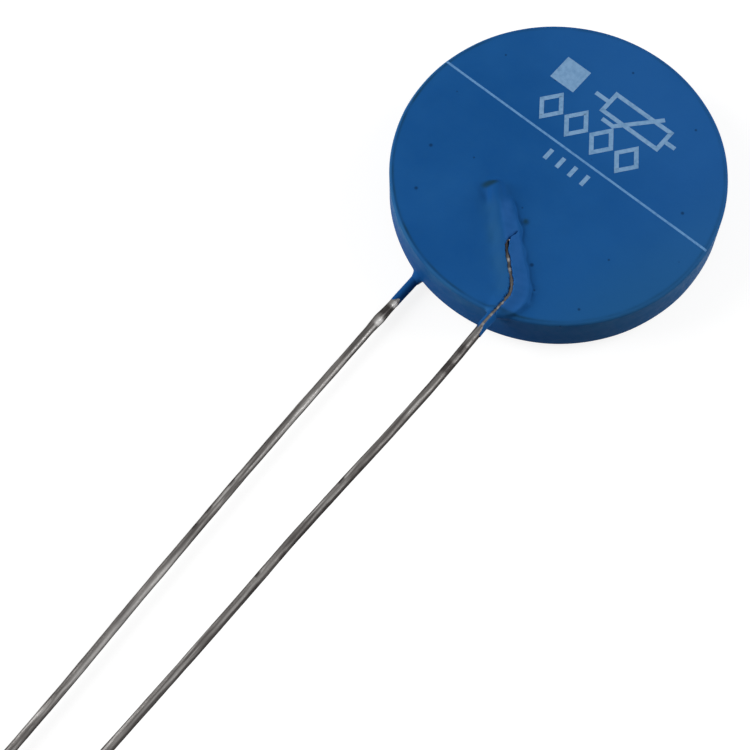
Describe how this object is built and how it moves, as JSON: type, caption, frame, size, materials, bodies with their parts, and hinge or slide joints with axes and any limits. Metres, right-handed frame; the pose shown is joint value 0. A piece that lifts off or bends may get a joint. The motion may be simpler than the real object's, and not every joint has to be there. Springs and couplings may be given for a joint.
{
  "type": "ptc thermistor",
  "caption": "Round ceramic disc thermistor in a blue dipped lacquer, with straight wire leads soldered slantwise across its faces.",
  "frame": {"origin": "centre of the lacquered rear face", "axes": "+Z out of the front face, -Y the way the leads run; the part lies on its rear side"},
  "size_m": [0.0171, 0.0521, 0.0035],
  "materials": {
    "lacquer": "satin",
    "ceramic": "matte",
    "electrode": "matte",
    "solder": "satin",
    "tinned_wire": "satin"
  },
  "bodies": {
    "root": {"lacquer_coat": "lacquer", "ceramic_disc": "ceramic", "front_electrode": "electrode", "rear_electrode": "electrode", "front_solder": "solder", "rear_solder": "solder", "front_lead": "tinned_wire", "rear_lead": "tinned_wire"}
  },
  "joints": []
}
